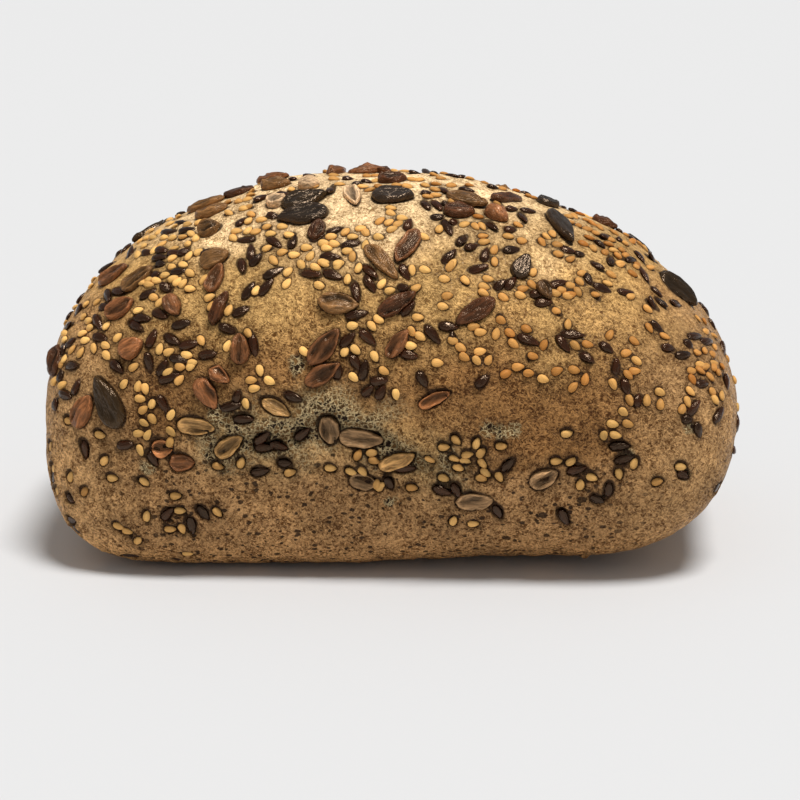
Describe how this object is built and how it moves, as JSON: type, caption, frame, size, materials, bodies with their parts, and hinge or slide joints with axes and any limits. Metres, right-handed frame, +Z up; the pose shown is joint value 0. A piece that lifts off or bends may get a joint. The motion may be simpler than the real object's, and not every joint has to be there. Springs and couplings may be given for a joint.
{
  "type": "multiseed bread loaf",
  "caption": "Whole uncut tin loaf: straight sides, a domed browned crust with a torn side seam, and seeds pressed all over the top.",
  "frame": {"origin": "bottom centre of the bounding box, on the flat base", "axes": "+X along the loaf's length, +Y across it away from the pictured side, +Z up through the dome"},
  "size_m": [0.1787, 0.0977, 0.0966],
  "materials": {
    "crust": "browned bread crust, matt with a faint gloss",
    "sesame": "toasted pale gold seed, satin",
    "flax": "dark brown seed, glossy",
    "sunflower_seed": "roasted brown kernel, satin with fine ridges",
    "pumpkin_seed": "dark green-brown kernel, glossy"
  },
  "bodies": {
    "root": {"loaf": "crust"}
  },
  "joints": []
}
